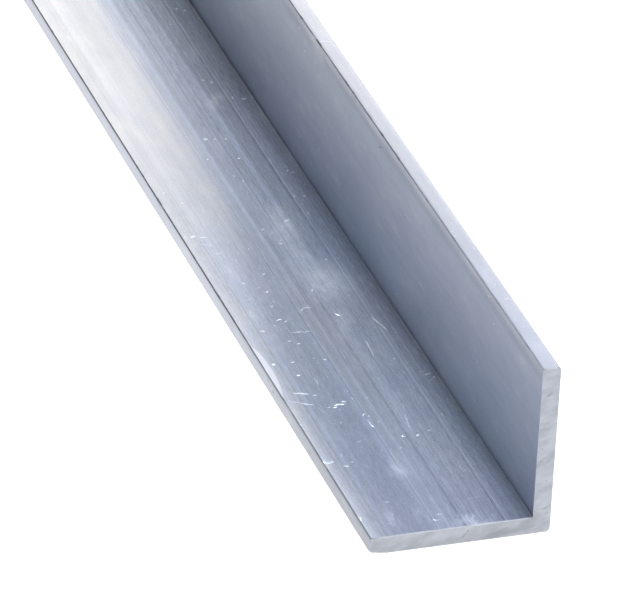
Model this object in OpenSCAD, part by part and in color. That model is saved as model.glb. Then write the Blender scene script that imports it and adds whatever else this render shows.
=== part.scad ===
// Aluminium angle profile: equal legs, extruded in one section and sawn square to length.
// It lies on its foot. The length runs along Y, the toe is at -X and the upright stands at +X.

/* [Legs] */
// Width of the foot, from the back of the upright to the toe
foot_width = 30; // [15:0.5:60]
// Height of the upright, from the underside of the foot to the tip
upright_height = 30; // [15:0.5:60]
// Wall of the foot
foot_wall = 3; // [1.5:0.1:6]
// Wall of the upright
upright_wall = 3; // [1.5:0.1:6]

/* [Corners] */
// Radius of the heel, where the two outer faces meet
heel_radius = 0.7; // [0.2:0.1:1.4]
// Radius of the root, where the two inner faces meet
root_radius = 0.25; // [0.1:0.05:3]
// Radius of each leg's tip on the outer face
tip_outer_radius = 0.5; // [0.1:0.05:0.9]
// Radius of each leg's tip on the inner face
tip_inner_radius = 0.2; // [0.05:0.05:0.5]

/* [Length] */
// Length that the stock is sawn to
length = 1000; // [100:10:3000]
// Width of the edge break that a file leaves round a sawn end
end_break = 0.2; // [0.05:0.05:0.5]

/* [Hidden] */
$fn = 64;

toe_x = -foot_width / 2;
heel_x = foot_width / 2;
root_x = heel_x - upright_wall;

// The section's corners: place, turn of the corner's quadrant, radius
ROOT = [[root_x, foot_wall], 90, root_radius];
TOE_INNER = [[toe_x, foot_wall], 270, tip_inner_radius];
TOE_OUTER = [[toe_x, 0], 0, tip_outer_radius];
HEEL = [[heel_x, 0], 90, heel_radius];
TIP_OUTER = [[heel_x, upright_height], 180, tip_outer_radius];
TIP_INNER = [[root_x, upright_height], 270, tip_inner_radius];
rounded_corners = [TOE_INNER, TOE_OUTER, HEEL, TIP_OUTER, TIP_INNER];
rounded_places = [for (corner = rounded_corners) corner[0]];

// The file goes round a sawn end from the foot's side of the root to the upright's side of it.
// Each stroke runs past its ends by its own width, and the first and last stop short of the root
stroke_over = end_break;
root_stop = root_radius + end_break + stroke_over;
file_side = 4 * end_break;
file_path = concat(
    [ROOT[0] - [root_stop, 0]],
    rounded_places,
    [ROOT[0] + [0, root_stop]]
);

// What lies between a square corner and the arc that rounds it
module spandrel(corner) {
    radius = corner[2];
    translate(corner[0]) rotate(corner[1]) difference() {
        square(radius);
        translate([radius, radius]) circle(radius);
    }
}

// The L of the two legs, with its heel and tips rounded and its root filleted
module section() {
    difference() {
        union() {
            polygon(concat([ROOT[0]], rounded_places));
            spandrel(ROOT);
        }
        for (corner = rounded_corners) spandrel(corner);
    }
}

// A square bar on edge that breaks one edge of the end at z = 0 at 45 degrees.
// The section lies to the left of the way from one point to the other
module file_stroke(from, to) {
    run = to - from;
    translate(from) rotate(atan2(run.y, run.x)) rotate([45, 0, 0])
        translate([-stroke_over, end_break / sqrt(2) - file_side, -file_side / 2])
            cube([norm(run) + 2 * stroke_over, file_side, file_side]);
}

module filed_edges() {
    for (i = [1 : len(file_path) - 1]) file_stroke(file_path[i - 1], file_path[i]);
}

module angle_profile() {
    color("#a9b0c0") translate([0, length / 2, 0]) rotate([90, 0, 0]) difference() {
        linear_extrude(height = length) section();
        filed_edges();
        translate([0, 0, length]) mirror([0, 0, 1]) filed_edges();
    }
}

angle_profile();
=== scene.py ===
"""Aluminium angle bar as it comes from the mill, on a white studio table.

The bar has die lines, worn arrises and sawn ends. The file is laid out as an add-on and run as a script.
Properties are in metres. The section and its wear are worked out in millimetres from three planes: the toe,
the near sawn end and the table.
"""
import math
import random
from typing import NamedTuple

import bpy
from bpy.props import FloatProperty, FloatVectorProperty, IntProperty, PointerProperty
from mathutils import Matrix, Vector, noise
from mathutils.geometry import delaunay_2d_cdt


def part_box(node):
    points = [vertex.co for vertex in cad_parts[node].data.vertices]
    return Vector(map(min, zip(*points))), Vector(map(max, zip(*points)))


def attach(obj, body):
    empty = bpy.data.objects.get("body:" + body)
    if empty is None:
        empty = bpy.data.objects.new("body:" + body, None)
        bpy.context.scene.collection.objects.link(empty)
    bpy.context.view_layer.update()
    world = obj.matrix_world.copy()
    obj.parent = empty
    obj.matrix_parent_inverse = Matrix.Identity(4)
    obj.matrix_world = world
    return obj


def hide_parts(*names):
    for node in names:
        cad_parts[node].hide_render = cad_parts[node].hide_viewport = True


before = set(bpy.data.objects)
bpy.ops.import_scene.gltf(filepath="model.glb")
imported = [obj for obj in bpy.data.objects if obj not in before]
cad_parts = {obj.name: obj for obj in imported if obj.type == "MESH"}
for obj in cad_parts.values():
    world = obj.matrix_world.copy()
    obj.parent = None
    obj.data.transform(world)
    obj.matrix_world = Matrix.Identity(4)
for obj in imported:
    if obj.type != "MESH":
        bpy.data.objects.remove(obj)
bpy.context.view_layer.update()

bl_info = {
    "name": "Aluminium angle bar",
    "version": (1, 0, 0),
    "blender": (4, 5, 0),
    "location": "3D View > Sidebar > Angle bar",
    "description": "Makes an extruded aluminium angle bar with its mill finish, and a studio table for it",
    "category": "Add Mesh",
}

MM = 0.001
NODE = "angle_profile"
BODY = "root"
LOW, HIGH = (Vector(corner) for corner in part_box(NODE))
# The section's leg and wall in millimetres, for its finish and its sawn ends.
LEG = 30.0
WALL = 3.0
UPRIGHT_FACE = LEG - WALL


class Corner(NamedTuple):
    """One corner of the section and the face that follows it, anticlockwise."""
    name: str
    across: float
    height: float
    radius: float
    hollow: bool
    face: str


class Station(NamedTuple):
    """One point of the section with its outward direction."""
    across: float
    height: float
    out_across: float
    out_height: float
    face: str
    radius: float


class DieLine(NamedTuple):
    """A ridge or, where height is negative, a groove that the die drew; shine is how much paler it is:
    partly its own finish, partly painted highlight, or painted shade where negative, for the light on its
    flanks.
    """
    place: float
    half_width: float
    height: float
    painted_shine: float


class Nick(NamedTuple):
    """A knock on one arris: where along the bar, half its length, and how deep and far it reaches."""
    corner: str
    along: float
    half_length: float
    depth: float
    reach: float


class Mark(NamedTuple):
    """A scratch, ding, smudge or stain, placed by run and lane and turned by degrees from run to lane.

    On a drawn face run goes along the bar and lane across the face.
    On a sawn end run goes across and lane up.
    """
    run: float
    lane: float
    half_length: float
    half_width: float
    turn: float
    strength: float


class Look(NamedTuple):
    """How one kind of drawn face looks: weights of across and height that give its lanes, and its wear."""
    lanes: tuple
    streaks: float
    scuffs: float
    lines: tuple = ()
    marks: tuple = ()
    stains: tuple = ()


class Scatter(NamedTuple):
    """One size of scattered scratch: the pitch of its cells, its half length and half width, the share of
    cells that have one, its strength, and a shift that keeps it off the other sizes."""
    pitch: float
    half_length: float
    half_width: float
    share: float
    strength: float
    shift: float


class SoftLight(NamedTuple):
    """A soft rectangular studio light."""
    name: str
    place: tuple
    aim: tuple
    wide: float
    high: float
    colour: tuple
    watts: float


SEAT_LINES = (
    DieLine(2.0, 0.16, -0.006, -0.4),
    DieLine(2.8, 0.12, -0.005, -0.7),
    DieLine(5.2, 0.20, 0.004, 0.3),
    DieLine(6.9, 0.45, -0.004, -0.3),
    DieLine(11.0, 0.08, 0.004, 0.4),
    DieLine(11.28, 0.10, -0.008, -0.8),
    DieLine(11.55, 0.09, 0.008, 1.0),
    DieLine(13.2, 0.44, 0.010, 0.9),
    DieLine(14.1, 0.36, -0.005, -0.5),
    DieLine(15.8, 0.15, -0.010, -1.0),
    DieLine(16.3, 0.10, 0.005, 0.5),
    DieLine(17.2, 0.40, 0.005, 0.5),
    DieLine(19.0, 0.36, 0.006, 0.6),
    DieLine(20.0, 0.12, -0.008, -0.8),
    DieLine(22.0, 0.10, 0.005, 0.6),
    DieLine(22.27, 0.11, -0.012, -1.2),
    DieLine(22.75, 0.08, 0.012, 2.6),
    DieLine(23.8, 0.30, -0.004, -0.4),
    DieLine(24.75, 0.12, 0.008, 0.7),
)
UPRIGHT_LINES = (
    DieLine(7.5, 0.30, -0.004, -0.2),
    DieLine(13.8, 0.25, 0.004, 0.2),
    DieLine(19.2, 0.30, -0.004, -0.2),
    DieLine(27.2, 0.35, 0.008, 0.3),
)
FACE_LINES = {"seat": SEAT_LINES, "upright": UPRIGHT_LINES}
FACE_PITCH = {"seat": 1.0, "upright": 1.5, "back": 1.2, "underside": 1.2, "tip": 0.5, "toe": 0.5}
LEVEL_FACES = ("seat", "underside", "tip")
LINE_STEPS = (-1.7, -0.7, 0.0, 0.7, 1.7)
ARC_STEPS = 7
ARC_WEAR = 0.02
SUPPORT = 0.06
SHARP_ANGLE = math.radians(28.0)

SEEN_NICKS = (
    Nick("toe_top", 6.4, 1.1, 0.10, 0.5),
    Nick("toe_top", 9.4, 1.0, 0.06, 0.4),
    Nick("toe_top", 15.8, 1.4, 0.06, 0.4),
    Nick("toe_top", 23.2, 1.0, 0.12, 0.6),
    Nick("toe_top", 35.5, 1.2, 0.07, 0.5),
    Nick("toe_top", 42.0, 2.2, 0.08, 0.6),
    Nick("toe_top", 63.0, 1.2, 0.07, 0.5),
    Nick("toe_top", 72.0, 1.5, 0.05, 0.4),
    Nick("toe_top", 111.0, 2.4, 0.07, 0.5),
    Nick("toe_top", 121.0, 1.4, 0.06, 0.4),
    Nick("tip_front", 22.5, 1.6, 0.05, 0.4),
    Nick("tip_front", 36.0, 1.4, 0.05, 0.4),
    Nick("tip_front", 71.5, 1.1, 0.11, 0.5),
    Nick("tip_front", 84.4, 0.7, 0.06, 0.4),
    Nick("tip_front", 92.5, 1.3, 0.08, 0.5),
    Nick("tip_front", 106.0, 1.4, 0.07, 0.4),
    Nick("tip_front", 114.0, 1.3, 0.08, 0.5),
)
NICKED_CORNERS = ("toe_top", "tip_front", "tip_back", "toe_under", "heel")
NICK_STEPS = (-1.0, -0.55, -0.1, 0.4, 1.0)
NICK_SEED = 11
SCATTER_FROM = 130.0
SCATTER_CLEAR = 4.0

# Rings along the bar: close at the ends, even where the picture shows it, and wider beyond.
END_RINGS = (0.42, 0.6, 0.8, 1.0, 1.3, 1.8, 2.4, 3.2)
SEEN_LENGTH = 220.0
SEEN_PITCH = 4.0
PLAIN_PITCH = 10.0
LEAST_PITCH = 0.14

SEAT_MARKS = (
    Mark(40.6, 8.3, 1.1, 0.32, 90, 1.0),
    Mark(39.9, 7.5, 0.5, 0.25, 60, 0.9),
    Mark(41.2, 9.4, 0.6, 0.24, 100, 1.0),
    Mark(40.1, 6.5, 0.5, 0.16, 75, 0.7),
    Mark(42.5, 2.4, 2.6, 0.15, -59, 0.6),
    Mark(45.4, 3.4, 1.5, 0.28, -67, 0.8),
    Mark(44.2, 5.5, 0.4, 0.18, 80, 0.7),
    Mark(55.2, 2.0, 0.4, 0.29, 90, 1.0),
    Mark(55.2, 5.3, 0.5, 0.23, 90, 1.0),
    Mark(54.8, 10.7, 0.3, 0.39, 0, 1.0),
    Mark(55.7, 9.0, 0.2, 0.21, 0, 0.84),
    Mark(33.0, 17.4, 3.3, 0.13, 9, 0.7),
    Mark(37.6, 18.3, 1.3, 0.12, 20, 0.4),
    Mark(56.8, 19.0, 3.5, 0.20, 3, 1.0),
    Mark(17.7, 21.0, 2.8, 0.12, 9, 0.5),
    Mark(16.3, 21.3, 1.0, 0.15, 35, 0.5),
    Mark(23.6, 1.3, 0.8, 0.22, 75, 1.0),
    Mark(21.9, 3.3, 0.6, 0.22, 90, 1.0),
    Mark(22.9, 4.6, 0.4, 0.20, 50, 0.7),
    Mark(25.5, 3.6, 0.3, 0.15, 0, 0.5),
    Mark(9.9, 6.0, 0.5, 0.20, 90, 0.9),
    Mark(6.2, 5.6, 0.7, 0.32, 20, 0.3),
    Mark(3.6, 4.4, 0.6, 0.24, 85, 0.3),
    Mark(6.2, 0.4, 1.0, 0.28, 0, 1.0),
    Mark(4.5, 12.9, 0.6, 0.15, 90, 0.5),
    Mark(7.9, 20.0, 2.4, 0.13, 78, 0.4),
    Mark(29.3, 19.8, 0.4, 0.26, 80, 0.9),
    Mark(25.0, 23.5, 0.5, 0.18, 0, 0.7),
    Mark(33.6, 23.6, 0.5, 0.18, 10, 0.7),
    Mark(34.0, 11.3, 1.8, 0.20, 0, 0.5),
    Mark(48.5, 7.1, 1.6, 0.18, 0, 0.56),
    Mark(46.4, 25.6, 1.0, 0.34, 65, 0.84),
    Mark(64.0, 23.1, 3.1, 0.22, -12, 1.0),
    Mark(62.3, 23.5, 1.3, 0.23, -10, 1.0),
    Mark(68.4, 17.3, 0.8, 0.36, -43, 1.0),
    Mark(64.2, 9.9, 2.0, 0.17, 94, 0.84),
    Mark(68.9, 7.4, 0.7, 0.26, 80, 0.98),
    Mark(68.2, 8.4, 0.5, 0.21, 80, 0.84),
    Mark(71.2, 12.2, 0.9, 0.18, 40, 0.98),
    Mark(71.7, 13.2, 0.9, 0.18, 85, 0.98),
    Mark(66.0, 3.6, 0.6, 0.29, -70, 1.0),
    Mark(61.9, 6.9, 0.4, 0.21, 90, 0.84),
    Mark(78.2, 8.3, 0.3, 0.36, 0, 1.0),
    Mark(77.0, 15.8, 0.9, 0.23, 10, 0.98),
    Mark(81.7, 5.5, 0.5, 0.26, 80, 0.84),
    Mark(84.0, 9.6, 0.4, 0.23, 70, 0.84),
    Mark(86.2, 21.3, 0.3, 0.34, 0, 1.0),
    Mark(93.2, 15.7, 0.5, 0.29, 80, 1.0),
    Mark(92.3, 4.3, 0.9, 0.20, 85, 0.7),
    Mark(98.4, 14.3, 0.6, 0.18, 75, 0.7),
    Mark(98.2, 3.6, 0.7, 0.23, 90, 0.98),
    Mark(98.8, 2.0, 0.8, 0.33, 70, 0.7),
    Mark(107.8, 24.6, 0.5, 0.29, 15, 1.0),
    Mark(102.0, 23.4, 0.5, 0.21, 20, 0.84),
    Mark(116.2, 25.2, 0.8, 0.22, 85, 1.0),
    Mark(117.0, 24.6, 0.3, 0.29, 0, 0.98),
    Mark(115.2, 16.2, 0.3, 0.31, 0, 1.0),
    Mark(117.3, 15.2, 0.3, 0.26, 0, 0.98),
    Mark(124.0, 12.6, 0.3, 0.29, 0, 1.0),
    Mark(123.2, 17.8, 0.3, 0.31, 0, 1.0),
    Mark(131.0, 14.4, 0.6, 0.34, 90, 1.0),
    Mark(143.4, 25.3, 0.7, 0.34, 90, 1.0),
    Mark(150.4, 21.7, 0.4, 0.31, 60, 0.84),
    Mark(47.5, 24.9, 0.9, 0.16, 70, 0.9),
    Mark(45.2, 26.2, 0.4, 0.26, 20, 1.0),
    Mark(44.4, 25.4, 0.6, 0.14, 65, 0.8),
    Mark(52.4, 21.8, 0.5, 0.20, 80, 0.8),
    Mark(73.8, 21.2, 0.4, 0.24, 70, 0.9),
    Mark(100.6, 19.2, 0.9, 0.18, 75, 0.8),
    Mark(144.0, 23.5, 0.7, 0.21, 10, 0.7),
    Mark(44.4, 11.0, 0.3, 0.20, 0, 0.8),
    Mark(41.8, 11.0, 0.3, 0.16, 0, 0.7),
    Mark(36.7, 11.2, 0.4, 0.18, 40, 0.8),
    Mark(35.9, 11.9, 0.3, 0.24, 0, 0.9),
    Mark(32.8, 11.5, 0.3, 0.20, 0, 0.8),
    Mark(33.8, 12.8, 0.3, 0.16, 0, 0.6),
    Mark(178.0, 24.0, 0.5, 0.30, 70, 1.0),
    Mark(177.1, 25.2, 0.5, 0.30, 70, 0.9),
    Mark(151.4, 20.6, 0.4, 0.26, 80, 0.8),
    Mark(130.2, 17.8, 0.4, 0.26, 80, 0.9),
    Mark(130.6, 16.0, 0.4, 0.24, 80, 0.8),
    Mark(108.1, 23.0, 0.4, 0.24, 60, 0.9),
    Mark(114.3, 1.9, 0.5, 0.26, 75, 0.9),
    Mark(110.3, 3.8, 0.5, 0.22, 80, 0.8),
)
MARK_BATCH = 10
SEAT_SMUDGES = (
    Mark(19.3, 11.5, 4.4, 2.3, 0, 0.48),
    Mark(0.6, 17.4, 2.6, 4.4, 0, 0.85),
    Mark(5.4, 4.8, 3.6, 1.9, 0, 0.4),
    Mark(79.5, 19.0, 10.5, 6.4, 0, 0.66),
    Mark(88.5, 17.4, 9.0, 3.4, 0, 0.46),
    Mark(99.0, 17.8, 11.0, 3.8, 0, 0.56),
    Mark(68.0, 18.0, 5.0, 2.6, 0, 0.3),
    Mark(143.5, 20.5, 2.6, 3.4, 0, 0.35),
)
UPRIGHT_MARKS = (
    Mark(143.5, 5.3, 1.3, 0.22, 60, 0.65),
    Mark(116.5, 5.0, 1.0, 0.20, 60, 0.55),
    Mark(31.0, 12.0, 1.2, 0.12, 35, 0.2),
)
UPRIGHT_STAINS = (
    Mark(79.0, 27.4, 1.1, 0.17, -22, 0.9),
    Mark(77.7, 28.1, 0.6, 0.10, -22, 0.4),
)
TOE_STAINS = (
    Mark(49.0, 1.6, 0.7, 0.25, 20, 0.6),
    Mark(52.0, 2.1, 0.8, 0.22, 10, 0.6),
    Mark(30.5, 1.2, 0.9, 0.30, 30, 0.3),
    Mark(71.0, 1.9, 1.2, 0.20, 5, 0.3),
)
SAWN_STAINS = (
    Mark(28.3, 25.2, 1.0, 0.32, 30, 0.6),
    Mark(27.7, 17.7, 0.5, 0.14, 25, 0.7),
    Mark(27.8, 15.4, 0.6, 0.16, -30, 0.6),
    Mark(27.7, 13.2, 0.5, 0.14, 10, 0.6),
    Mark(29.0, 13.0, 0.8, 0.35, 20, 0.4),
    Mark(28.8, 9.5, 0.3, 0.20, 0, 0.6),
    Mark(27.8, 7.8, 0.5, 0.12, 10, 0.5),
    Mark(28.9, 4.4, 0.75, 0.13, 22, 1.0),
    Mark(29.2, 3.5, 0.6, 0.22, 20, 0.5),
    Mark(16.2, 2.1, 0.5, 0.22, 60, 0.8),
    Mark(15.6, 1.3, 0.9, 0.30, 50, 0.5),
    Mark(22.5, 1.0, 5.5, 1.1, 4, 0.45),
)

SCATTERS = (
    Scatter(3.2, 0.40, 0.16, 0.35, 1.0, 0.0),
    Scatter(8.0, 1.80, 0.10, 0.22, 1.0, 50.0),
    Scatter(1.5, 0.24, 0.12, 0.40, 0.6, 90.0),
)

SEAT_LOOK = Look((1, 0), 1.3, 1.0, SEAT_LINES, SEAT_MARKS)
UPRIGHT_LOOK = Look((0, 1), 0.35, 0.25, UPRIGHT_LINES, UPRIGHT_MARKS, UPRIGHT_STAINS)
UNDERSIDE_LOOK = Look((1, 0), 1.0, 1.0, SEAT_LINES)
EDGE_LOOK = Look((1, 1), 0.35, 0.3, (), (), TOE_STAINS)
SHADED_ARRIS_LOOK = Look((1, 1), 0.2, 0.0)
FILED_LOOK = Look((1, 1), 0.3, 0.0)
TONE_SPAN = 0.44
TONE_LOW = 0.78
DRAWN_RELIEF = 0.000006
SAWN_RELIEF = 0.00001
SMEAR_SLANT = math.radians(20.0)

# Wear: the peened lip, the rolled strip beside the toe, the knocked corner and the filed edges.
BRUISE_ALONG = 53.5
BRUISE_HALF = 8.6
BRUISE_WIDE = 1.3
BRUISE_SLOPE = 0.07
ROLL_WIDE = 1.9
ROLL_DROP = 0.03
KNOCK_RADIUS = 0.75
KNOCK_REACH = 2.6
BREAK_SHARE = {"seat": 0.65, "tip": 0.8}
BREAK_UNEVEN = {"seat": 0.9}
PLAIN_BREAK = 0.12
CLOSE_RUNS = {"underside": (0.25, 0.5, 0.8)}

# Saw marks, and the triangles of a sawn end.
TOOTH_RISE = 0.956
TOOTH_LEAN = 0.292
NEAR_SAW = 3.0
FAR_SAW = 8.0
CAP_STEP = 0.5
CAP_EDGE = 0.45

# Where the sides and the two ends lie on the bake map.
MAP_EDGE = 0.005
MAP_SIDES = 0.85
MAP_GIRTH = 0.99
MAP_END_LEFT = 0.01
MAP_END_WIDE = 0.47
MAP_END_LOW = 0.87
MAP_END_HIGH = 0.12
MAP_FAR_END = 0.5

# The studio's boards, lamps and sheets; those named behind face the far half of the bar.
WARM_WHITE = (1.0, 0.967, 0.918)
LAMP_BLUE = (0.72, 0.81, 1.0)
SHEET_BLUE = (0.65, 0.78, 1.0)
PLAIN_WHITE = (1.0, 1.0, 1.0)
COOL_WHITE = (0.9, 0.95, 1.0)
SKY_BLUE = (0.78, 0.88, 1.0)
SOFT_LIGHTS = (
    SoftLight("low_board", (0.21, 0.05, 0.20), (0.21, -1.0, 0.20), 0.50, 0.17, WARM_WHITE, 0.84),
    SoftLight("high_lamp", (0.13, 0.05, 0.81), (0.13, -1.0, 0.81), 0.26, 0.38, LAMP_BLUE, 6.2),
    SoftLight("left_sheet", (-0.28, 0.05, 0.46), (-0.28, -1.0, 0.46), 0.33, 0.32, SHEET_BLUE, 0.34),
    SoftLight("front_sheet", (0.42, -1.30, 1.20), (0.0, -0.45, 0.0), 1.0, 0.8, PLAIN_WHITE, 4.0),
    SoftLight("low_board_behind", (0.21, 0.051, 0.20), (0.21, 1.0, 0.20), 0.50, 0.17, WARM_WHITE, 0.5),
    SoftLight("high_lamp_behind", (0.13, 0.051, 0.81), (0.13, 1.0, 0.81), 0.26, 0.38, LAMP_BLUE, 4.0),
    SoftLight("left_sheet_behind", (-0.28, 0.051, 0.46), (-0.28, 1.0, 0.46), 0.33, 0.32, SHEET_BLUE, 0.34),
    SoftLight("far_sheet", (0.0, 0.80, 2.40), (0.0, 0.80, 0.0), 1.6, 1.0, COOL_WHITE, 4.5),
    SoftLight("near_board", (0.0, -2.20, 0.70), (0.0, 0.0, 0.1), 1.6, 0.5, COOL_WHITE, 1.0),
    SoftLight("toe_board", (-1.80, 0.15, 0.75), (0.0, 0.15, 0.0), 1.4, 0.5, COOL_WHITE, 0.8),
    SoftLight("overhead_sheet", (0.0, 0.1, 1.6), (0.0, 0.1, 0.0), 1.6, 2.4, SKY_BLUE, 2.0),
)


class BarSizes(bpy.types.PropertyGroup):
    """Sizes of the bar that a user would change."""
    foot_width: FloatProperty(
        name="Foot width", description="From the toe to the back of the upright",
        default=HIGH.x - LOW.x, min=0.01, unit="LENGTH",
    )
    upright_height: FloatProperty(
        name="Upright height", description="From the table to the tip of the upright",
        default=HIGH.z - LOW.z, min=0.01, unit="LENGTH",
    )
    length: FloatProperty(
        name="Length", description="Between the sawn ends",
        default=HIGH.y - LOW.y, min=0.05, unit="LENGTH",
    )
    wall: FloatProperty(
        name="Wall", description="Thickness of both legs",
        default=WALL * MM, min=0.001, unit="LENGTH",
    )
    heel_radius: FloatProperty(
        name="Heel radius", description="Where the two outer faces meet",
        default=0.0007, min=0.0001, unit="LENGTH",
    )
    root_radius: FloatProperty(
        name="Root radius", description="Where the two inner faces meet",
        default=0.00025, min=0.00005, unit="LENGTH",
    )
    outer_radius: FloatProperty(
        name="Outer tip radius", description="On the outer side of each leg's tip",
        default=0.0005, min=0.0001, unit="LENGTH",
    )
    inner_radius: FloatProperty(
        name="Inner tip radius", description="On the inner side of each leg's tip",
        default=0.0002, min=0.00005, unit="LENGTH",
    )
    end_break: FloatProperty(
        name="End break", description="Mean width of the filed edge round a sawn end",
        default=0.00026, min=0.00002, unit="LENGTH",
    )
    nick_count: IntProperty(
        name="Nicks", description="Knocks scattered along the arrises",
        default=26, min=0, max=80,
    )


class BarFinish(bpy.types.PropertyGroup):
    """Colours and gloss of the bar's surfaces."""
    metal: FloatVectorProperty(
        name="Metal", description="Bare metal of the drawn faces",
        default=(0.53, 0.582, 0.69), size=3, min=0.0, max=1.0, subtype="COLOR",
    )
    chalk: FloatVectorProperty(
        name="Chalk", description="Pale patches and the floor of scratches",
        default=(0.95, 0.96, 0.98), size=3, min=0.0, max=1.0, subtype="COLOR",
    )
    rubbed: FloatVectorProperty(
        name="Rubbed metal", description="Lighter metal of the edges and narrow faces",
        default=(0.527, 0.54, 0.586), size=3, min=0.0, max=1.0, subtype="COLOR",
    )
    # Painted shade: this darker colour stands in for the dark surroundings that the two inner arrises
    # reflect, and for the shade at the table under the underside and heel breaks of the sawn ends.
    arris: FloatVectorProperty(
        name="Inner arris", description="Tarnished metal of the sharp inner edge of each leg",
        default=(0.44, 0.45, 0.48), size=3, min=0.0, max=1.0, subtype="COLOR",
    )
    # The colour of real stains and smears, and of the painted shade along the two inner arrises.
    shade_and_dirt: FloatVectorProperty(
        name="Edge dirt", description="Dark film that stays in the sharp inner edges",
        default=(0.14, 0.145, 0.16), size=3, min=0.0, max=1.0, subtype="COLOR",
    )
    # Over the seat, part of this tint is a painted reflection tint.
    greyer: FloatVectorProperty(
        name="Greyer metal", description="Less blue tint of some lanes of the drawn faces",
        default=(0.59, 0.60, 0.635), size=3, min=0.0, max=1.0, subtype="COLOR",
    )
    # A painted reflection tint that the seat takes towards the near sawn end.
    lilac_reflection: FloatVectorProperty(
        name="Lilac bloom", description="Tint of the drawn metal beside a sawn end",
        default=(0.585, 0.585, 0.665), size=3, min=0.0, max=1.0, subtype="COLOR",
    )
    filed: FloatVectorProperty(
        name="Filed metal", description="Bright metal of the broken edges round a sawn end",
        default=(0.62, 0.635, 0.71), size=3, min=0.0, max=1.0, subtype="COLOR",
    )
    sawn: FloatVectorProperty(
        name="Sawn metal", description="Freshly cut metal of the ends",
        default=(0.56, 0.582, 0.632), size=3, min=0.0, max=1.0, subtype="COLOR",
    )
    drawn_gloss: FloatProperty(
        name="Drawn roughness", description="Roughness of the drawn faces",
        default=0.38, min=0.05, max=1.0, subtype="FACTOR",
    )
    edge_gloss: FloatProperty(
        name="Edge roughness", description="Roughness of the edges and narrow faces",
        default=0.45, min=0.05, max=1.0, subtype="FACTOR",
    )
    filed_gloss: FloatProperty(
        name="Filed roughness", description="Roughness of the broken edges round a sawn end",
        default=0.35, min=0.05, max=1.0, subtype="FACTOR",
    )
    drawn_grain: FloatProperty(
        name="Directional gloss",
        description="How much wider the gloss spreads across the die lines than along them",
        default=0.65, min=0.0, max=1.0, subtype="FACTOR",
    )
    sawn_gloss: FloatProperty(
        name="Sawn roughness", description="Roughness of the sawn ends",
        default=0.58, min=0.05, max=1.0, subtype="FACTOR",
    )


class StudioTable(bpy.types.PropertyGroup):
    """The camera's stand and the table."""
    aim: FloatVectorProperty(
        name="Aim", description="Point of the table at the middle of the picture",
        default=(0.00306, -0.42071, 0.0), size=3, subtype="TRANSLATION", unit="LENGTH",
    )
    azimuth: FloatProperty(
        name="Azimuth", description="Turn of the view from the bar's length towards its upright",
        default=math.radians(19.881), subtype="ANGLE", unit="ROTATION",
    )
    elevation: FloatProperty(
        name="Elevation", description="How far the view looks down",
        default=math.radians(29.601), subtype="ANGLE", unit="ROTATION",
    )
    roll: FloatProperty(
        name="Roll", description="Turn of the camera about its own line of sight",
        default=math.radians(3.165), subtype="ANGLE", unit="ROTATION",
    )
    distance: FloatProperty(
        name="Distance", description="From the camera to the aim",
        default=1.2742, min=0.1, unit="LENGTH",
    )
    focal_length: FloatProperty(
        name="Focal length", description="Lens on a sensor 36 mm wide, in millimetres",
        default=432.41, min=10.0,
    )
    floor_radius: FloatProperty(
        name="Table radius", description="Half the width of the plain white table",
        default=40.0, min=1.0, unit="LENGTH",
    )
    floor_colour: FloatVectorProperty(
        name="Table colour", description="Plain white of the table",
        default=(0.35, 0.35, 0.35), size=3, min=0.0, max=1.0, subtype="COLOR",
    )
    floor_glow: FloatProperty(
        name="Table glow", description="Light that comes up through the white table",
        default=1.05, min=0.0, max=4.0,
    )
    room_colour: FloatVectorProperty(
        name="Room colour", description="Dim bluish light of the room round the table",
        default=(0.030, 0.036, 0.048), size=3, min=0.0, max=4.0, subtype="COLOR",
    )


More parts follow.
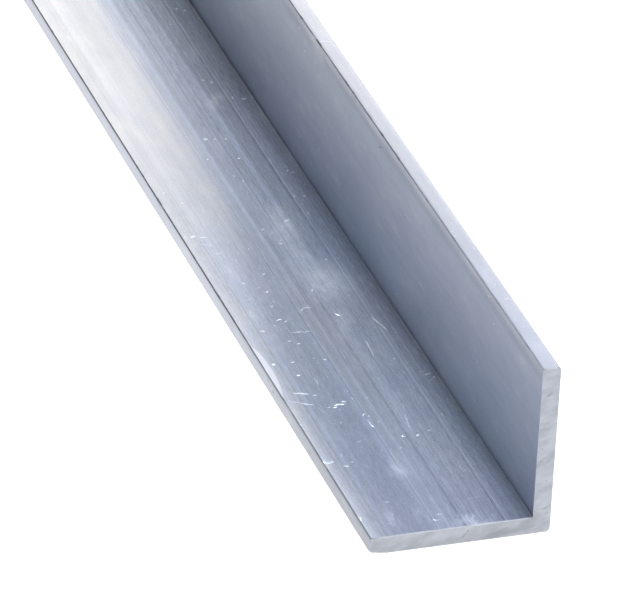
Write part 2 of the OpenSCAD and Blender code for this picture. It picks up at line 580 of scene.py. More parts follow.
class Value:
    """A shader value over a surface; an expression on it adds the Math nodes."""

    def __init__(self, tree, socket):
        self.tree = tree
        self.socket = socket

    def node(self, kind, settings=None, sockets=None, output=0):
        """Adds a node: its settings first, then its sockets by name or number; gives back one output."""
        made = self.tree.nodes.new(kind)
        for key, setting in (settings or {}).items():
            setattr(made, key, setting)
        for key, given in (sockets or {}).items():
            socket = made.inputs[key] if isinstance(key, int) else self.named(made.inputs, key)
            if isinstance(given, Value):
                self.tree.links.new(given.socket, socket)
            else:
                socket.default_value = given
        outlet = made.outputs[output] if isinstance(output, int) else self.named(made.outputs, output)
        return Value(self.tree, outlet)

    @staticmethod
    def named(sockets, key):
        """The socket with that identifier, or else with that name."""
        for socket in sockets:
            if socket.identifier == key:
                return socket
        return sockets[key]

    def maths(self, operation, *terms):
        return self.node("ShaderNodeMath", {"operation": operation}, dict(enumerate(terms)))

    def __add__(self, other):
        return self.maths("ADD", self, other)

    def __radd__(self, other):
        return self.maths("ADD", other, self)

    def __sub__(self, other):
        return self.maths("SUBTRACT", self, other)

    def __rsub__(self, other):
        return self.maths("SUBTRACT", other, self)

    def __mul__(self, other):
        return self.maths("MULTIPLY", self, other)

    def __rmul__(self, other):
        return self.maths("MULTIPLY", other, self)

    def __truediv__(self, other):
        return self.maths("DIVIDE", self, other)

    def __rtruediv__(self, other):
        return self.maths("DIVIDE", other, self)

    def __abs__(self):
        return self.maths("ABSOLUTE", self)

    def least(self, other):
        return self.maths("MINIMUM", self, other)

    def most(self, other):
        return self.maths("MAXIMUM", self, other)

    def ease(self, low, high, top=1.0):
        """0 at low and top at high, smooth between; low may be the greater."""
        return self.node(
            "ShaderNodeMapRange", {"interpolation_type": "SMOOTHSTEP"},
            {"Value": self, "From Min": low, "From Max": high, "To Max": top},
        )

    def shade(self, colour):
        """A colour made lighter or darker by this value."""
        return self.node(
            "ShaderNodeMix", {"data_type": "RGBA", "blend_type": "MULTIPLY"},
            {"Factor_Float": 1.0, "A_Color": colour, "B_Color": self}, "Result_Color",
        )

    def blend(self, first, second):
        """A colour between two by this value."""
        colours = {"Factor_Float": self}
        for key, colour in (("A_Color", first), ("B_Color", second)):
            colours[key] = colour if isinstance(colour, Value) else (*colour, 1.0)
        return self.node("ShaderNodeMix", {"data_type": "RGBA"}, colours, "Result_Color")


def bar_coordinates(tree):
    """Millimetres from the toe, from the near end and above the table, as values over the surface."""
    start = Value(tree, None)
    place = start.node("ShaderNodeTexCoord", output="Object")
    parts = [start.node("ShaderNodeSeparateXYZ", {}, {0: place}, axis) for axis in range(3)]
    return [(part - low) * (1 / MM) for part, low in zip(parts, LOW)]


def mottle(across, along, height, fine, detail=2.0):
    """Noise over the bar, its three scales per millimetre given by fine."""
    scaled = across.node(
        "ShaderNodeCombineXYZ", {}, {0: across * fine[0], 1: along * fine[1], 2: height * fine[2]},
    )
    return across.node("ShaderNodeTexNoise", {}, {"Vector": scaled, "Scale": 1.0, "Detail": detail})


def mark_cover(spot, mark, core):
    """How strongly a mark covers a spot: full within its core, fading to its rim."""
    local = spot.node("ShaderNodeMapping", {"vector_type": "TEXTURE"}, {
        "Vector": spot, "Location": (mark.run, mark.lane, 0.0),
        "Rotation": (0.0, 0.0, math.radians(mark.turn)), "Scale": (mark.half_length, mark.half_width, 1.0),
    })
    away = spot.node("ShaderNodeVectorMath", {"operation": "LENGTH"}, {0: local}, "Value")
    return away.ease(1.0, core, mark.strength)


def marks_cover(run, lane, waver, marks, core):
    """How strongly the strongest of some marks covers a point, their outlines bent by waver.

    Each batch of marks bends the next a little where they cross, and so waits for it: a shader can hold
    only some of them at once.
    """
    crumble = mottle(lane, run, lane, (1.8, 1.0, 0.0)) - 0.5
    drift = mottle(lane + 40.0, run, lane, (1.8, 1.0, 0.0)) - 0.5
    spot = run.node(
        "ShaderNodeCombineXYZ", {}, {0: run + crumble * waver, 1: lane + drift * (waver * 0.6)},
    )
    cover = run * 0.0
    for first in range(0, len(marks), MARK_BATCH):
        for mark in marks[first:first + MARK_BATCH]:
            cover = cover.most(mark_cover(spot, mark, core))
        bent = {0: cover, 1: (0.05, 0.05, 0.0), 2: spot}
        spot = run.node("ShaderNodeVectorMath", {"operation": "MULTIPLY_ADD"}, bent)
    return cover


def lip_cover(along, across):
    """How strongly the peened lip beside the toe's upper arris covers a point."""
    away = (along - BRUISE_ALONG) / BRUISE_HALF
    swell = (1.0 - away * away).most(0.0)
    wide = swell.maths("SQRT", swell) * BRUISE_WIDE
    return (wide - across).ease(-0.1, 0.25)


def painted_line_shine(lane, lines):
    """How much paler, or darker where negative, the die lines leave a point of a face: partly their own
    finish, partly painted highlight and shade for the light on their flanks.
    """
    total = lane * 0.0
    for line in lines:
        total = total + abs(lane - line.place).ease(1.5 * line.half_width, 0.0, line.painted_shine)
    return total


def painted_arris_shade(across, along, height):
    """Painted shade along the two sharp inner edges: a dark line, wider and narrower by turns."""
    reach = (mottle(across, along, height, (0.0, 0.22, 0.0), 3.0) - 0.40) * 0.8
    away = along.ease(35.0, 75.0)
    covers = []
    for edge_across, edge_height, least in ((0.0, WALL, 0.14), (UPRIGHT_FACE, LEG, 0.10)):
        over = across - edge_across
        rise = height - edge_height
        wide = reach.most(least) * (away * 0.45 + 1.0)
        covers.append((over * over + rise * rise).ease(wide * wide * 1.6, wide * wide * 0.3))
    return covers[0].most(covers[1]) * (along.ease(2.0, 12.0, 0.15) + away * 0.45 + 0.3)


def scattered_scratches(lane, along, scatter, scuffs):
    """One short scratch at a random angle in some cells of a scatter over the face."""
    fine = 1 / scatter.pitch
    spot = lane.node("ShaderNodeCombineXYZ", {}, {0: (lane + scatter.shift) * fine, 1: along * fine})
    cell = {"voronoi_dimensions": "2D"}
    inputs = {"Vector": spot, "Scale": 1.0}
    centre = lane.node("ShaderNodeTexVoronoi", cell, inputs, "Position")
    chance = lane.node("ShaderNodeTexVoronoi", cell, inputs, "Color")
    draw = [lane.node("ShaderNodeSeparateColor", {}, {0: chance}, part) for part in range(3)]
    offset = lane.node("ShaderNodeVectorMath", {"operation": "SUBTRACT"}, {0: spot, 1: centre})
    turned = lane.node(
        "ShaderNodeVectorRotate", {"rotation_type": "Z_AXIS"}, {"Vector": offset, "Angle": draw[0] * 3.1},
    )
    off = lane.node("ShaderNodeSeparateXYZ", {}, {0: turned}, 0)
    run = lane.node("ShaderNodeSeparateXYZ", {}, {0: turned}, 1)
    side = (1.0 - abs(off) * (scatter.pitch / scatter.half_width)).most(0.0)
    end = (1.0 - abs(run) * (scatter.pitch / scatter.half_length)).most(0.0)
    kept = draw[1].ease(1.0 - scatter.share * scuffs, 1.0, scatter.strength)
    return side * (end * 2.0).least(1.0) * kept


def seat_patches(across, along, cloud, streak):
    """Pale smudges of the seat, ragged and streaked along the bar, and the rubbed band beside the toe."""
    swirl = (cloud - 0.5) * 9.0
    smudges = marks_cover(along + swirl, across + swirl * 0.6, 3.5, SEAT_SMUDGES, 0.1)
    ragged = mottle(across, along, across, (0.9, 0.35, 0.0), 3.0).ease(0.30, 0.66, 0.5) + 0.55
    band = across.ease(ROLL_WIDE, 0.4, 0.42) * along.ease(125.0, 45.0)
    return (smudges * ragged).most(band) * (streak * 1.4 + 0.85)


def seat_painted_shade(across, along):
    """Painted shade and highlight on the seat, to be taken from its tone: lanes darkened where the seat
    reflects little light, one lane lightened where it reflects more, and a dark band beside the root.
    """
    outer = across.ease(2.8, 4.6) * across.ease(12.0, 10.0) * (along - across * 5.0).ease(65.0, 30.0, 0.36)
    painted_sheen = across.ease(6.5, 8.5) * across.ease(12.5, 10.5) * along.ease(100.0, 130.0, 0.16)
    inner = across.ease(17.0, 21.0) * along.ease(125.0, 155.0, 0.30)
    near_toe = along.ease(70.0, 40.0, 0.17) + along.ease(80.0, 110.0, 0.14)
    toe = across.ease(3.6, 2.6) * (along.ease(130.0, 170.0, 0.18) + near_toe)
    far_toe = across.ease(3.0, 4.4) * across.ease(10.5, 8.0) * along.ease(150.0, 176.0, 0.18)
    middle = across.ease(14.8, 15.8) * across.ease(20.0, 18.5) * along.ease(40.0, 15.0, 0.22)
    band = across.ease(10.5, 12.0) * across.ease(15.5, 14.0)
    band = band * along.ease(58.0, 72.0) * along.ease(115.0, 98.0, 0.16)
    end = across.ease(11.0, 12.5) * across.ease(23.0, 22.0) * along.ease(18.0, 8.0, 0.14)
    shade_beside_root = across.ease(24.9, 25.3, 0.18)
    return outer + inner + toe + far_toe + middle + band + end + shade_beside_root - painted_sheen


def seat_reflection_tint(across, along):
    """Painted reflection tint: where the seat's tint is greyer, or bluer where negative, than the rest of
    the drawn metal.
    """
    outer = across.ease(2.0, 3.5) * across.ease(12.5, 10.0) * along.ease(110.0, 80.0, 0.6)
    inner = across.ease(9.0, 12.5) * along.ease(65.0, 95.0, 0.7)
    far_root = across.ease(18.0, 21.0) * along.ease(130.0, 150.0, 0.8)
    far_toe = across.ease(15.0, 11.0) * along.ease(95.0, 135.0, 0.3)
    end = across.ease(14.0, 20.0) * across.ease(24.0, 22.5) * along.ease(40.0, 10.0, 0.6)
    return far_toe + end - outer - inner - far_root


def mill_finish(name, metal, finish, gloss, look):
    """Drawn aluminium: streaks along the bar, clouding, scattered scratches and the face's own marks."""
    material = bpy.data.materials.new(name)
    material.use_nodes = True
    tree = material.node_tree
    shader = tree.nodes["Principled BSDF"]
    across, along, height = bar_coordinates(tree)
    lane = across * look.lanes[0] + height * look.lanes[1]
    seat = look is SEAT_LOOK

    # Texture: streaks along the bar, short dashes, clouding and grain.
    fine = (mottle(lane, along, lane, (3.4, 0.012, 0.0), 3.0) - 0.5) * look.streaks
    broad = (mottle(lane, along, lane, (0.8, 0.005, 0.0), 1.0) - 0.5) * look.streaks
    dashes = (mottle(lane, along, lane, (5.0, 0.4, 0.0)) - 0.5) * look.scuffs
    cloud = mottle(across, along, height, (0.35, 0.12, 0.35), 3.0)
    grain = mottle(across, along, height, (6.0, 3.0, 6.0)) - 0.5
    if seat:
        calm = 1.0 - across.ease(18.0, 9.0) * along.ease(85.0, 125.0, 0.7)
        inner = across.ease(13.0, 17.0)
        fine = fine * (calm + inner * along.ease(70.0, 110.0, 0.6) - along.ease(60.0, 35.0, 0.3))
        dashes = dashes * calm * (inner * 0.4 + 1.0)
        grain = grain * (inner * 0.5 + 1.35)

    # Scratches: a scatter of three sizes, and the face's own marks.
    scratch = lane * 0.0
    for scatter in SCATTERS:
        scratch = scratch.most(scattered_scratches(lane, along, scatter, look.scuffs))
    if seat:
        sparks = dashes.ease(0.26, 0.50) * along.ease(45.0, 75.0, 0.7)
        scratch = (scratch * (calm * 0.9 - 0.27)).most(sparks)
    if look.marks:
        scratch = scratch.most(marks_cover(along, lane, 0.9, look.marks, 0.35))
    scratch = scratch * (grain * 1.6 + 1.0)

    # Colour: a tone that lightens or darkens the metal, with painted highlight and shade, and its tint,
    # then pale haze, and dark stains with painted shade along the inner arrises.
    haze = cloud.ease(0.60, 0.85, 0.2)
    tone = fine * 0.75 + broad * 0.35 + dashes + grain * 0.9 + (cloud - 0.5) * 0.4 + 0.5
    if look.lines:
        breaks = mottle(lane, along, lane, (1.2, 0.10, 0.0), 3.0).ease(0.30, 0.60, 0.6) + 0.4
        if seat:
            breaks = breaks * calm
        # Die lines add their own finish and painted highlight and shade for the light on their flanks.
        tone = tone + painted_line_shine(lane, look.lines) * breaks * 0.5 - height.ease(26.0, 28.5, 0.34)
        tint = (cloud - 0.5) * 0.8 + 0.58
        # Painted shade: the metal darkens towards the root corner, where the two inner faces meet.
        over = across - UPRIGHT_FACE
        rise = height - WALL
        root = (over * over + rise * rise).ease(0.0, 1.0, 0.2) + 0.8
        if seat:
            haze = haze.most(seat_patches(across, along, cloud, fine + grain * 0.6))
            haze = haze.most(lip_cover(along, across) * 0.72)
            # Painted shade and highlight on lanes of the seat.
            tone = tone - seat_painted_shade(across, along)
            # Painted reflection tint over lanes of the seat.
            tint = tint + seat_reflection_tint(across, along)
        drawn = tint.blend(metal, finish.greyer)
        if seat:
            # Painted reflection tint: the seat turns lilac towards the near sawn end.
            drawn = along.ease(30.0, 4.0, 0.5).blend(drawn, finish.lilac_reflection)
        colour = ((tone * TONE_SPAN + TONE_LOW) * root).shade(drawn)
    else:
        # Painted light and shade on the toe side: paler away from the near end, and darker just under the
        # upper arris.
        toe = across.ease(2.0, 0.6)
        tone = tone + toe * (along.ease(0.0, 95.0, 0.68) - height.ease(1.6, 3.0, 0.25) - 0.2)
        colour = (tone * TONE_SPAN + TONE_LOW).shade((*metal, 1.0))
    colour = scratch.most(haze).blend(colour, finish.chalk)
    # Painted shade along the two inner arrises, with the face's own stains over it.
    stain = painted_arris_shade(across, along, height)
    if look.stains:
        stain = stain.most(marks_cover(along, lane, 0.5, look.stains, 0.2))
    colour = stain.blend(colour, finish.shade_and_dirt)

    # Relief and gloss.
    relief = fine * 1.8 + broad * 1.5 + grain * 0.3 + scratch * 8.0
    rough = fine * 0.10 + broad * 0.05 + grain * 0.06 + haze * 0.10 + gloss
    bump = relief.node("ShaderNodeBump", {}, {"Strength": 1.0, "Distance": DRAWN_RELIEF, "Height": relief})
    tree.links.new(colour.socket, shader.inputs["Base Color"])
    tree.links.new(rough.socket, shader.inputs["Roughness"])
    tree.links.new(bump.socket, shader.inputs["Normal"])
    shader.inputs["Metallic"].default_value = 1.0
    shader.inputs["Anisotropic"].default_value = finish.drawn_grain
    shader.inputs["Anisotropic Rotation"].default_value = 0.25
    return material


def sawn_finish(name, finish):
    """A sawn end: matt, with slanting smears and fine tooth lines."""
    material = bpy.data.materials.new(name)
    material.use_nodes = True
    tree = material.node_tree
    shader = tree.nodes["Principled BSDF"]
    across, along, height = bar_coordinates(tree)
    rise = height * math.cos(SMEAR_SLANT) - across * math.sin(SMEAR_SLANT)
    run = across * math.cos(SMEAR_SLANT) + height * math.sin(SMEAR_SLANT)
    blotch = mottle(rise, run, rise, (0.55, 0.22, 0.0), 3.0)
    teeth = mottle(rise, run, rise, (3.0, 0.2, 0.0), 2.0)
    grain = mottle(across, along, height, (5.0, 5.0, 5.0))
    dark = [part * 0.70 for part in finish.sawn]
    pale = [min(1.0, part * 1.12) for part in finish.sawn]
    tone = blotch.ease(0.28, 0.70) * 0.6 + (teeth - 0.5) * 0.4 + (grain - 0.5) * 0.5 + 0.30
    stain = marks_cover(across, height, 0.7, SAWN_STAINS, 0.1)
    tone = (stain * 0.55).blend(tone.blend(dark, pale), finish.shade_and_dirt)
    relief = blotch * 0.6 + teeth * 0.6 + grain - stain * 2.0
    bump = relief.node("ShaderNodeBump", {}, {"Strength": 1.0, "Distance": SAWN_RELIEF, "Height": relief})
    tree.links.new(tone.socket, shader.inputs["Base Color"])
    tree.links.new(((teeth - 0.5) * 0.15 + finish.sawn_gloss).socket, shader.inputs["Roughness"])
    tree.links.new(bump.socket, shader.inputs["Normal"])
    shader.inputs["Metallic"].default_value = 1.0
    return material


def section_corners(bar):
    """The section's six corners, anticlockwise from under the toe."""
    wide = bar.foot_width / MM
    high = bar.upright_height / MM
    wall = bar.wall / MM
    outer = bar.outer_radius / MM
    inner = bar.inner_radius / MM
    return (
        Corner("toe_under", 0.0, 0.0, outer, False, "underside"),
        Corner("heel", wide, 0.0, bar.heel_radius / MM, False, "back"),
        Corner("tip_back", wide, high, outer, False, "tip"),
        Corner("tip_front", wide - wall, high, inner, False, "upright"),
        Corner("root", wide - wall, wall, bar.root_radius / MM, True, "seat"),
        Corner("toe_top", 0.0, wall, inner, False, "toe"),
    )


def outward(start, end):
    """Unit outward direction of the face from one corner to the next."""
    run_across = end.across - start.across
    run_height = end.height - start.height
    run = math.hypot(run_across, run_height)
    return run_height / run, -run_across / run


def face_runs(face, first, last):
    """Distances along a face for its stations: an even pitch, close at die lines, a support at each end."""
    span = abs(last - first)
    count = max(2, round(span / FACE_PITCH[face]))
    runs = [span * step / count for step in range(1, count)]
    runs += CLOSE_RUNS.get(face, ())
    for line in FACE_LINES.get(face, ()):
        middle = abs(line.place - first)
        runs += [middle + line.half_width * step for step in LINE_STEPS]
    kept = [SUPPORT]
    for run in sorted(runs):
        if kept[-1] + SUPPORT < run < span - 2 * SUPPORT:
            kept.append(run)
    return kept + [span - SUPPORT]


def section_stations(bar):
    """The section's points in order, corner arcs and faces, with outward directions."""
    corners = section_corners(bar)
    stations = []
    for index, corner in enumerate(corners):
        before = outward(corners[index - 1], corner)
        following = corners[(index + 1) % len(corners)]
        after = outward(corner, following)
        side = 1.0 if corner.hollow else -1.0
        centre_across = corner.across + side * corner.radius * (before[0] + after[0])
        centre_height = corner.height + side * corner.radius * (before[1] + after[1])
        for step in range(ARC_STEPS + 1):
            turn = 0.5 * math.pi * step / ARC_STEPS
            out_across = before[0] * math.cos(turn) + after[0] * math.sin(turn)
            out_height = before[1] * math.cos(turn) + after[1] * math.sin(turn)
            stations.append(Station(
                centre_across - side * corner.radius * out_across,
                centre_height - side * corner.radius * out_height,
                out_across, out_height, corner.name, corner.radius,
            ))
        along_across, along_height = -after[1], after[0]
        level = corner.face in LEVEL_FACES
        start = stations[-1]
        first = start.across if level else start.height
        stop = following.across if level else following.height
        last = stop - math.copysign(following.radius, stop - first)
        for run in face_runs(corner.face, first, last):
            stations.append(Station(
                start.across + run * along_across, start.height + run * along_height,
                after[0], after[1], corner.face, 0.0,
            ))
    return stations


def scattered_nicks(bar, rng):
    """The nicks seen near the sawn end and a seeded scatter over the rest of the arrises."""
    nicks = list(SEEN_NICKS)
    length = bar.length / MM
    for count in range(bar.nick_count):
        nicks.append(Nick(
            NICKED_CORNERS[count % len(NICKED_CORNERS)], rng.uniform(SCATTER_FROM, length - SCATTER_CLEAR),
            rng.uniform(0.6, 2.0), rng.uniform(0.05, 0.16), rng.uniform(0.4, 0.8),
        ))
    return nicks


def length_stations(bar, nicks):
    """Places along the bar for its rings: close at the ends and at each nick."""
    length = bar.length / MM
    close = [0.0, bar.end_break / MM, *END_RINGS]
    places = close + [length - place for place in close]
    places += [SEEN_PITCH * step for step in range(1, round(SEEN_LENGTH / SEEN_PITCH))]
    plain = max(0, round((length - SEEN_LENGTH) / PLAIN_PITCH))
    places += [SEEN_LENGTH + PLAIN_PITCH * step for step in range(1, plain)]
    for nick in nicks:
        places += [nick.along + nick.half_length * step for step in NICK_STEPS]
    kept = []
    for place in sorted(places):
        if place < 0.0 or place > length:
            continue
        if not kept or place - kept[-1] > LEAST_PITCH:
            kept.append(place)
    kept[-1] = length
    return kept


def die_relief(station, along):
    """Height of the die lines at a station of a face."""
    lane = station.across if station.face in LEVEL_FACES else station.height
    total = 0.0
    for line in FACE_LINES.get(station.face, ()):
        away = (lane - line.place) / line.half_width
        if abs(away) < 2.5:
            swell = 0.75 + 0.5 * noise.noise((along * 0.012, line.place * 3.7, 0.5))
            total += line.height * swell * math.exp(-away * away)
    return total


def bruise_drop(station, along):
    """How far the peened lip on the toe's upper arris has been beaten down."""
    away = (along - BRUISE_ALONG) / BRUISE_HALF
    if abs(away) >= 1.0 or station.face not in ("seat", "toe_top", "toe"):
        return 0.0
    wide = BRUISE_WIDE * math.sqrt(1.0 - away * away) * (0.85 + 0.5 * noise.noise((along * 0.5, 0.0, 2.0)))
    drop = BRUISE_SLOPE * max(0.0, wide - station.across)
    if station.face == "toe":
        half = 0.5 * WALL
        drop *= max(0.0, station.height - half) / half
    return drop


def knocked_corner(place):
    """Rounds off the lower toe corner of the near end, where the bar was set down hard."""
    spare = KNOCK_REACH - max(place)
    if spare <= 0.0:
        return place
    radius = KNOCK_RADIUS * min(1.0, spare / (KNOCK_REACH - KNOCK_RADIUS))
    inside = [max(radius - part, 0.0) for part in place]
    depth = math.sqrt(sum(part * part for part in inside))
    if depth <= radius or depth == 0.0:
        return place
    return tuple(
        radius - part * radius / depth if part > 0.0 else given
        for part, given in zip(inside, place)
    )


def worn_place(station, along, inset, corners, nicks):
    """A station's place on one ring, after die lines, nicks and wear."""
    lift = die_relief(station, along) - inset
    across = station.across + station.out_across * lift
    height = station.height + station.out_height * lift
    for nick in nicks:
        corner = corners[nick.corner]
        away = math.hypot(station.across - corner.across, station.height - corner.height) / nick.reach
        if away < 1.0:
            run = (along - nick.along) / nick.half_length
            sink = nick.depth * (1.0 - away * away) ** 2 * max(0.0, 1.0 - run * run)
            across -= station.out_across * sink
            height -= station.out_height * sink
    if station.radius > 0.0 and station.face != "root":
        waver = ARC_WEAR * noise.noise((along * 0.35, station.radius * 9.0, len(station.face)))
        across -= station.out_across * (ARC_WEAR + waver)
        height -= station.out_height * (ARC_WEAR + waver)
    if station.face == "seat" and across < ROLL_WIDE:
        height -= ROLL_DROP * (1.0 - across / ROLL_WIDE) ** 2
    height -= bruise_drop(station, along)
    return across, height


def ring_insets(stations, corners, end_break, seed):
    """How far each station of a sawn end stands in from the section: an edge filed more on some faces."""
    insets = []
    for station in stations:
        clear = min(
            math.hypot(station.across - corner.across, station.height - corner.height)
            for corner in corners.values()
        )
        share = BREAK_SHARE.get(station.face, PLAIN_BREAK)
        share = PLAIN_BREAK + (share - PLAIN_BREAK) * min(1.0, max(0.0, clear - 0.2) / 0.4)
        uneven = noise.noise((station.across * 0.45, station.height * 0.45, seed))
        wide = end_break * share * (1.0 + BREAK_UNEVEN.get(station.face, 0.3) * uneven)
        insets.append(min(wide, 0.8 * station.radius) if station.radius > 0.0 else wide)
    return insets


def sawn_relief(across, height, seed):
    """Depth of the saw's tooth marks on an end."""
    rise = height * TOOTH_RISE - across * TOOTH_LEAN
    broad = noise.noise((rise * 1.1, across * 0.08, seed))
    return 0.005 * broad + 0.003 * noise.noise((rise * 3.0, across * 0.2, seed))


def sawn_cap(ring, along, seed, places):
    """Triangles over one sawn end, from its ring and an even scatter inside, which it adds to places."""
    outline = [Vector((places[index][0], places[index][2])) for index in ring]
    inner = []
    cells = round(LEG / CAP_STEP) + 1
    for column in range(cells):
        for row in range(cells):
            across = column * CAP_STEP
            height = row * CAP_STEP + 0.5 * CAP_STEP * (column % 2)
            in_foot = across < LEG - CAP_STEP and height < WALL - CAP_EDGE
            in_upright = UPRIGHT_FACE + CAP_EDGE < across < LEG - CAP_EDGE and height < LEG - CAP_STEP
            if min(across, height) > CAP_EDGE and (in_foot or in_upright):
                inner.append(Vector((across, height)))
    count = len(outline)
    edges = [(index, (index + 1) % count) for index in range(count)]
    flat, _, triangles, origins, _, _ = delaunay_2d_cdt(outline + inner, edges, [], 1, 1e-6)
    names = {}
    for index, (point, origin) in enumerate(zip(flat, origins)):
        if origin and min(origin) < count:
            names[index] = ring[min(origin)]
        else:
            names[index] = len(places)
            places.append(knocked_corner((point.x, along + sawn_relief(point.x, point.y, seed), point.y)))
    faces = []
    for triangle in triangles:
        a, b, c = (flat[index] for index in triangle)
        turned = (b - a).cross(c - a)
        named = [names[index] for index in triangle]
        faces.append(named if turned > 0.0 else named[::-1])
    return faces


SEAT, UPRIGHT, EDGE, UNDERSIDE, SHADED_ARRIS, FILED, SAWN = range(7)
# The shaded arris finish is painted shade: on the two inner arrises, and at the sawn ends on the underside
# and heel breaks, where the bar meets the table.
FACE_FINISH = {
    "seat": SEAT, "root": SEAT, "upright": UPRIGHT, "back": UPRIGHT, "underside": UNDERSIDE,
    "toe_top": SHADED_ARRIS, "tip_front": SHADED_ARRIS,
}
BREAK_FINISH = {"seat": FILED, "tip": FILED, "underside": SHADED_ARRIS, "heel": SHADED_ARRIS}


def ring_places(stations, corners, rings, nicks, end_break):
    """Every ring's points: the section after its wear, and filed in at both ends."""
    length = rings[-1]
    filed = {end: ring_insets(stations, corners, end_break, end) for end in (0.0, length)}
    plain = [0.0] * len(stations)
    places = []
    for number, along in enumerate(rings):
        near = [nick for nick in nicks if abs(along - nick.along) <= nick.half_length]
        insets = filed.get(along, plain)
        for index, station in enumerate(stations):
            across, height = worn_place(station, along, insets[index], corners, near)
            place = along
            if number == 1:
                place = filed[0.0][index]
            elif number == len(rings) - 2:
                place = length - filed[length][index]
            places.append(knocked_corner((across, place, height)))
    return places


def side_faces(stations, rings):
    """The faces between the rings, with their corners on the bake map and their finishes."""
    count = len(stations)
    girth = [0.0]
    for index in range(count):
        here, there = stations[index], stations[(index + 1) % count]
        girth.append(girth[-1] + math.hypot(there.across - here.across, there.height - here.height))
    faces = []
    maps = []
    finishes = []
    for ring in range(len(rings) - 1):
        base = ring * count
        low = MAP_EDGE + MAP_SIDES * rings[ring] / rings[-1]
        high = MAP_EDGE + MAP_SIDES * rings[ring + 1] / rings[-1]
        for index in range(count):
            after = (index + 1) % count
            faces.append((base + index, base + count + index, base + count + after, base + after))
            left = MAP_EDGE + MAP_GIRTH * girth[index] / girth[-1]
            right = MAP_EDGE + MAP_GIRTH * girth[index + 1] / girth[-1]
            maps += [(left, low), (left, high), (right, high), (right, low)]
            face = stations[index].face
            number = FACE_FINISH.get(face, EDGE)
            if ring in (0, len(rings) - 2):
                number = BREAK_FINISH.get(face, number)
            finishes.append(number)
    return faces, maps, finishes


def end_faces(bar, count, rings, places, near_end):
    """The faces of one sawn end, with their corners on the bake map."""
    wide = bar.foot_width / MM
    high = bar.upright_height / MM
    first = 0 if near_end else (len(rings) - 1) * count
    ring = list(range(first, first + count))
    along, seed, shift = (rings[0], NEAR_SAW, 0.0) if near_end else (rings[-1], FAR_SAW, MAP_FAR_END)
    faces = []
    maps = []
    for triangle in sawn_cap(ring, along, seed, places):
        turned = triangle if near_end else triangle[::-1]
        faces.append(turned)
        for index in turned:
            across, _, height = places[index]
            left = shift + MAP_END_LEFT
            maps.append((left + MAP_END_WIDE * across / wide, MAP_END_LOW + MAP_END_HIGH * height / high))
    return faces, maps


def angle_bar_mesh(bar):
    """The bar's closed mesh with its bake map and finish numbers."""
    stations = section_stations(bar)
    corners = {corner.name: corner for corner in section_corners(bar)}
    nicks = scattered_nicks(bar, random.Random(NICK_SEED))
    rings = length_stations(bar, nicks)
    places = ring_places(stations, corners, rings, nicks, bar.end_break / MM)
    faces, maps, finishes = side_faces(stations, rings)
    for near_end in (True, False):
        end, end_maps = end_faces(bar, len(stations), rings, places, near_end)
        faces += end
        maps += end_maps
        finishes += [SAWN] * len(end)
    mesh = bpy.data.meshes.new("angle_bar")
    mesh.from_pydata([LOW + Vector(place) * MM for place in places], [], faces)
    mesh.polygons.foreach_set("material_index", finishes)
    mesh.polygons.foreach_set("use_smooth", [True] * len(faces))
    layer = mesh.uv_layers.new(name="OFBake")
    layer.uv.foreach_set("vector", [part for pair in maps for part in pair])
    # The directional gloss turns about the middle of this space. That lies far to the side, so the gloss
    # runs straight along the bar.
    mesh.use_auto_texspace = False
    mesh.texspace_location = (-100.0, 0.0, 0.0)
    mesh.texspace_size = (1.0, 100.0, 1.0)
    mesh.validate()
    mesh.set_sharp_from_angle(angle=SHARP_ANGLE)
    mesh.update()
    return mesh


class ANGLEBAR_OT_make_bar(bpy.types.Operator):
    """Makes the angle bar with its mill finish, in place of the plain solid"""
    bl_idname = "angle_bar.make_bar"
    bl_label = "Make the angle bar"

    def execute(self, context):
        bar = context.scene.angle_bar_sizes
        finish = context.scene.angle_bar_finish
        mesh = angle_bar_mesh(bar)
        drawn = tuple(finish.metal)
        rubbed = tuple(finish.rubbed)
        arris = tuple(finish.arris)
        for material in (
            mill_finish("die_lined_seat", drawn, finish, finish.drawn_gloss, SEAT_LOOK),
            mill_finish("drawn_upright", drawn, finish, finish.drawn_gloss, UPRIGHT_LOOK),
            mill_finish("rubbed_edges", rubbed, finish, finish.edge_gloss, EDGE_LOOK),
            mill_finish("drawn_underside", drawn, finish, finish.drawn_gloss, UNDERSIDE_LOOK),
            # Painted shade on the inner arrises and on the lower breaks of the sawn ends.
            mill_finish("inner_arris", arris, finish, finish.edge_gloss, SHADED_ARRIS_LOOK),
            mill_finish("filed_break", tuple(finish.filed), finish, finish.filed_gloss, FILED_LOOK),
        ):
            mesh.materials.append(material)
        mesh.materials.append(sawn_finish("sawn_end", finish))
        piece = bpy.data.objects.new("angle_bar", mesh)
        context.scene.collection.objects.link(piece)
        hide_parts(NODE)
        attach(piece, BODY)
        return {"FINISHED"}


def table_floor(table):
    """The plain white table under the bar."""
    half = table.floor_radius
    sides = 96
    rim = [
        (half * math.cos(math.tau * step / sides), half * math.sin(math.tau * step / sides), LOW.z)
        for step in range(sides)
    ]
    mesh = bpy.data.meshes.new("studio_table")
    mesh.from_pydata(rim, [], [tuple(range(sides))])
    material = bpy.data.materials.new("white_table")
    material.use_nodes = True
    shader = material.node_tree.nodes["Principled BSDF"]
    shader.inputs["Base Color"].default_value = (*table.floor_colour, 1.0)
    shader.inputs["Roughness"].default_value = 0.9
    shader.inputs["Specular IOR Level"].default_value = 0.0
    shader.inputs["Emission Color"].default_value = (1.0, 1.0, 1.0, 1.0)
    shader.inputs["Emission Strength"].default_value = table.floor_glow
    mesh.materials.append(material)
    return bpy.data.objects.new("studio_table", mesh)


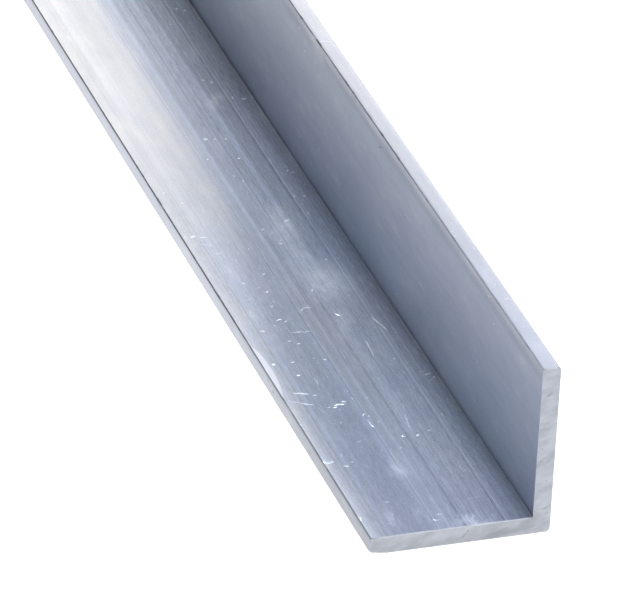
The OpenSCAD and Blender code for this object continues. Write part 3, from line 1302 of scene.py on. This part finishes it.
def studio_camera(table):
    """A long lens at the picture's angle."""
    lens = bpy.data.cameras.new("studio_camera")
    lens.lens = table.focal_length
    lens.sensor_width = 36.0
    lens.clip_end = 100.0
    camera = bpy.data.objects.new("studio_camera", lens)
    flat = math.cos(table.elevation)
    sight = Vector((
        math.sin(table.azimuth) * flat, math.cos(table.azimuth) * flat, -math.sin(table.elevation),
    ))
    level = Vector((math.cos(table.azimuth), -math.sin(table.azimuth), 0.0))
    upward = level.cross(sight)
    right = level * math.cos(table.roll) + upward * math.sin(table.roll)
    top = right.cross(sight)
    stand = Matrix((right, top, -sight)).transposed().to_4x4()
    stand.translation = Vector(table.aim) - sight * table.distance
    camera.matrix_world = stand
    return camera


def soft_light(light):
    """A soft rectangular light that the camera doesn't see."""
    lamp = bpy.data.lights.new(light.name, "AREA")
    lamp.shape = "RECTANGLE"
    lamp.size = light.wide
    lamp.size_y = light.high
    lamp.color = light.colour
    lamp.energy = light.watts
    stand = bpy.data.objects.new(light.name, lamp)
    away = Vector(light.place) - Vector(light.aim)
    stand.matrix_world = Matrix.Translation(light.place) @ away.to_track_quat("Z", "Y").to_matrix().to_4x4()
    stand.visible_camera = False
    return stand


def room_light(table):
    """The dim room round the table, shown pale behind the bar."""
    world = bpy.data.worlds.new("studio_room")
    world.use_nodes = True
    tree = world.node_tree
    background = tree.nodes["Background"]
    seen = Value(tree, None).node("ShaderNodeLightPath", output="Is Camera Ray")
    room = seen.blend(tuple(table.room_colour), (0.95, 0.95, 0.95))
    tree.links.new(room.socket, background.inputs["Color"])
    return world


class ANGLEBAR_OT_set_stage(bpy.types.Operator):
    """Sets the white table, the soft lights and the camera"""
    bl_idname = "angle_bar.set_stage"
    bl_label = "Set the studio table"

    def execute(self, context):
        scene = context.scene
        table = scene.angle_bar_table
        floor = table_floor(table)
        camera = studio_camera(table)
        for thing in [floor, camera] + [soft_light(light) for light in SOFT_LIGHTS]:
            scene.collection.objects.link(thing)
        scene.camera = camera
        scene.world = room_light(table)
        scene.view_settings.view_transform = "Standard"
        return {"FINISHED"}


class ANGLEBAR_PT_sidebar(bpy.types.Panel):
    """Lists the bar's sizes, its finish and the table"""
    bl_idname = "ANGLEBAR_PT_sidebar"
    bl_label = "Angle bar"
    bl_space_type = "VIEW_3D"
    bl_region_type = "UI"
    bl_category = "Angle bar"

    def draw(self, context):
        scene = context.scene
        for group in (scene.angle_bar_sizes, scene.angle_bar_finish, scene.angle_bar_table):
            box = self.layout.box()
            for name in group.__annotations__:
                box.prop(group, name)
        self.layout.operator(ANGLEBAR_OT_set_stage.bl_idname)
        self.layout.operator(ANGLEBAR_OT_make_bar.bl_idname)


CLASSES = (
    BarSizes, BarFinish, StudioTable,
    ANGLEBAR_OT_make_bar, ANGLEBAR_OT_set_stage, ANGLEBAR_PT_sidebar,
)


def register():
    for made in CLASSES:
        bpy.utils.register_class(made)
    bpy.types.Scene.angle_bar_sizes = PointerProperty(type=BarSizes)
    bpy.types.Scene.angle_bar_finish = PointerProperty(type=BarFinish)
    bpy.types.Scene.angle_bar_table = PointerProperty(type=StudioTable)


def unregister():
    del bpy.types.Scene.angle_bar_table
    del bpy.types.Scene.angle_bar_finish
    del bpy.types.Scene.angle_bar_sizes
    for made in reversed(CLASSES):
        bpy.utils.unregister_class(made)


def main():
    register()
    bpy.ops.angle_bar.set_stage()
    bpy.ops.angle_bar.make_bar()


if __name__ == "__main__":
    main()
